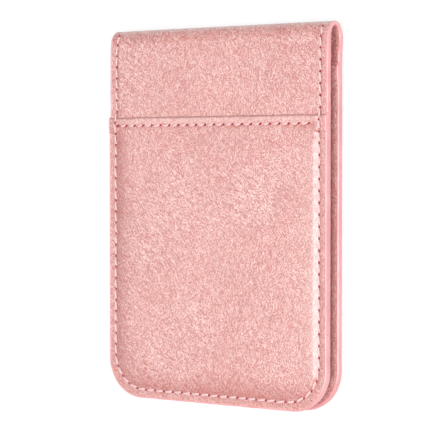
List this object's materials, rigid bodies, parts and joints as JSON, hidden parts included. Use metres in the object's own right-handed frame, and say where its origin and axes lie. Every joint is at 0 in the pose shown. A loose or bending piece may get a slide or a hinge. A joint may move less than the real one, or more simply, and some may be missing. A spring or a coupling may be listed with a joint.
{
  "type": "magnetic phone card holder",
  "caption": "Slim stick-on card holder for the back of a phone: a stitched leather flap with an outer card pocket folds over a back leaf with an inner pocket and is held shut by magnets.",
  "frame": {"origin": "under the middle of the closed holder, on the outer face of its adhesive pad", "axes": "+Y up the holder towards the fold, +Z out of the front, +X to the right seen from the front"},
  "size_m": [0.067, 0.0954, 0.0093],
  "materials": {
    "cover_leather": "pearly rose-gold grained leather, soft satin sheen, fine diagonal wrinkles",
    "lining": "plain rose leather lining, matt",
    "board": "grey-brown pressed fibre board, matt",
    "thread": "pale pink waxed polyester thread",
    "magnet": "bright nickel-plated magnet discs",
    "foam_tape": "dark grey foam mounting tape, matt"
  },
  "bodies": {
    "back_panel": {"adhesive_pad": "foam_tape", "back_cover_leather": "cover_leather", "back_board": "board", "back_magnet_left": "magnet", "back_magnet_right": "magnet", "back_lining": "lining", "inner_pocket_panel": "cover_leather", "inner_pocket_hem_thread": "thread", "back_seam_thread": "thread", "back_bobbin_thread": "thread", "spine_leather": "cover_leather", "spine_lining": "lining", "spine_seam_thread_left": "thread", "spine_seam_thread_right": "thread"},
    "front_flap": {"front_lining": "lining", "front_board": "board", "front_magnet_left": "magnet", "front_magnet_right": "magnet", "front_cover_leather": "cover_leather", "front_pocket_panel": "cover_leather", "pocket_hem_thread": "thread", "front_seam_thread": "thread", "front_bobbin_thread": "thread"}
  },
  "joints": [
    {"name": "flap_hinge", "type": "hinge", "parent": "back_panel", "child": "front_flap", "pos_m": [0, 0.04675, 0.00466], "axis": [-1, 0, 0], "range_deg": [0, 180], "deforming": ["spine_leather", "spine_lining", "spine_seam_thread_left", "spine_seam_thread_right"]}
  ]
}
